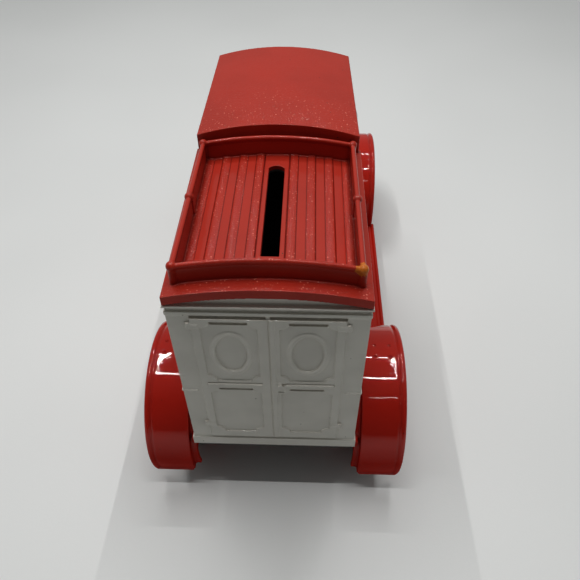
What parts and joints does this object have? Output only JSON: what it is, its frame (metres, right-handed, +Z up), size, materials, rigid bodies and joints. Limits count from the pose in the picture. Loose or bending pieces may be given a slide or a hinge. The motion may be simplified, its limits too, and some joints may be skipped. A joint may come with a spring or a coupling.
{
  "type": "still bank",
  "caption": "Delivery van still bank with a coin slot in its railed roof deck, relief rear doors, mudguards, turning spoked wheels and a locking coin door underneath.",
  "frame": {"origin": "middle of the footprint, on the ground under the tyres", "axes": "+Z up, -Y towards the front of the van, +X to the van's left"},
  "size_m": [0.0788, 0.1698, 0.1027],
  "materials": {
    "white_paint": "gloss",
    "roof_red_paint": "satin",
    "gloss_red_paint": "gloss",
    "plated_trim": "polished",
    "black_plastic": "satin",
    "seat_plastic": "satin",
    "clear_plastic": "gloss",
    "tyre_rubber": "matte",
    "steel": "satin",
    "brass": "satin"
  },
  "bodies": {
    "van": {"body_shell": "white_paint", "roof_casting": "roof_red_paint", "fender_casting": "gloss_red_paint", "hood": "white_paint", "radiator_shell": "plated_trim", "radiator_core": "black_plastic", "radiator_cap": "plated_trim", "headlight_shell_left": "plated_trim", "headlight_shell_right": "plated_trim", "headlight_lens_left": "clear_plastic", "headlight_lens_right": "clear_plastic", "headlight_bar": "plated_trim", "windshield_frame": "plated_trim", "windshield_glass": "clear_plastic", "seat_bench": "seat_plastic", "steering_column": "black_plastic", "steering_wheel": "black_plastic", "base_plate": "black_plastic", "base_screws": "steel", "roof_screws": "steel", "coin_door_pin": "steel"},
    "front_wheels": {"front_axle": "steel", "wheel_front_left": "gloss_red_paint", "wheel_front_right": "gloss_red_paint", "tyre_front_left": "tyre_rubber", "tyre_front_right": "tyre_rubber", "hub_cap_front_left": "plated_trim", "hub_cap_front_right": "plated_trim"},
    "rear_wheels": {"rear_axle": "steel", "wheel_rear_left": "gloss_red_paint", "wheel_rear_right": "gloss_red_paint", "tyre_rear_left": "tyre_rubber", "tyre_rear_right": "tyre_rubber", "hub_cap_rear_left": "plated_trim", "hub_cap_rear_right": "plated_trim"},
    "coin_door": {"coin_door": "black_plastic", "lock_body": "plated_trim", "lock_nut": "steel"},
    "lock": {"lock_plug": "brass", "lock_cam": "steel"}
  },
  "joints": [
    {"name": "front_wheels_spin", "type": "hinge", "parent": "van", "child": "front_wheels", "pos_m": [0, -0.06, 0.0173], "axis": [1, 0, 0], "continuous": true},
    {"name": "rear_wheels_spin", "type": "hinge", "parent": "van", "child": "rear_wheels", "pos_m": [0, 0.06, 0.0173], "axis": [1, 0, 0], "continuous": true},
    {"name": "coin_door_swing", "type": "hinge", "parent": "van", "child": "coin_door", "pos_m": [0, 0.029, 0.022], "axis": [-1, 0, 0], "range_deg": [0, 80]},
    {"name": "lock_turn", "type": "hinge", "parent": "coin_door", "child": "lock", "pos_m": [0, 0.0455, 0.0249], "axis": [0, 0, 1], "range_deg": [0, 90]}
  ]
}
